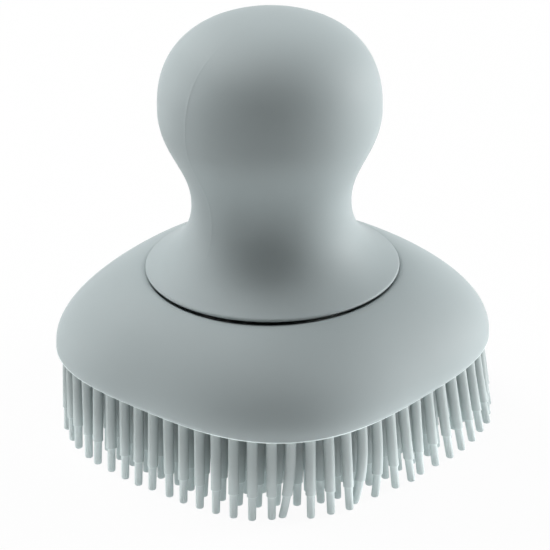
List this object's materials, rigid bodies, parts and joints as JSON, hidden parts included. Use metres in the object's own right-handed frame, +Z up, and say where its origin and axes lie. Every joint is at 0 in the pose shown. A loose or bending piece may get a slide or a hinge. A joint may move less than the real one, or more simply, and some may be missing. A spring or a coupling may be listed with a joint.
{
  "type": "pet shampoo brush",
  "caption": "Soft-square domed pet shampoo brush with a field of stepped silicone bristles and a hollow ball-grip handle that unscrews from the head.",
  "frame": {"origin": "centre of the bristle tips, on the surface that the brush stands on", "axes": "+Z up along the handle, X and Y square to the sides of the soft-square head"},
  "size_m": [0.0876, 0.0876, 0.0959],
  "materials": {
    "soft_touch_plastic": "matte grey-green moulded plastic with a soft sheen",
    "bristle_silicone": "soft matte silicone in the same grey-green",
    "inner_plastic": "plain pale grey moulded plastic",
    "seal_rubber": "dark grey silicone ring",
    "screw_steel": "stainless steel"
  },
  "bodies": {
    "head": {"dome_cover": "soft_touch_plastic", "socket_insert": "inner_plastic", "backing_plate": "inner_plastic", "clamp_screw_1": "screw_steel", "clamp_screw_2": "screw_steel", "clamp_screw_3": "screw_steel", "clamp_screw_4": "screw_steel", "bristle_pad_front": "bristle_silicone", "bristle_pad_right": "bristle_silicone", "bristle_pad_back": "bristle_silicone", "bristle_pad_left": "bristle_silicone"},
    "seal": {"seal_ring": "seal_rubber"},
    "handle": {"handle_shell_left": "soft_touch_plastic", "handle_shell_right": "soft_touch_plastic", "stem_plate": "inner_plastic", "stem_screw_1": "screw_steel", "stem_screw_2": "screw_steel", "stem_screw_3": "screw_steel", "stem_screw_4": "screw_steel"}
  },
  "joints": [
    {"name": "handle_rise", "type": "slide", "parent": "head", "child": "seal", "axis": [0, 0, 1], "range_m": [0, 0.006]},
    {"name": "handle_turn", "type": "hinge", "parent": "seal", "child": "handle", "pos_m": [0, 0, 0.0347], "axis": [0, 0, 1], "range_deg": [0, 540]}
  ],
  "couplings": [
    {"joint": "handle_rise", "follows": "handle_turn", "m_per_rad": 0.0006366}
  ]
}
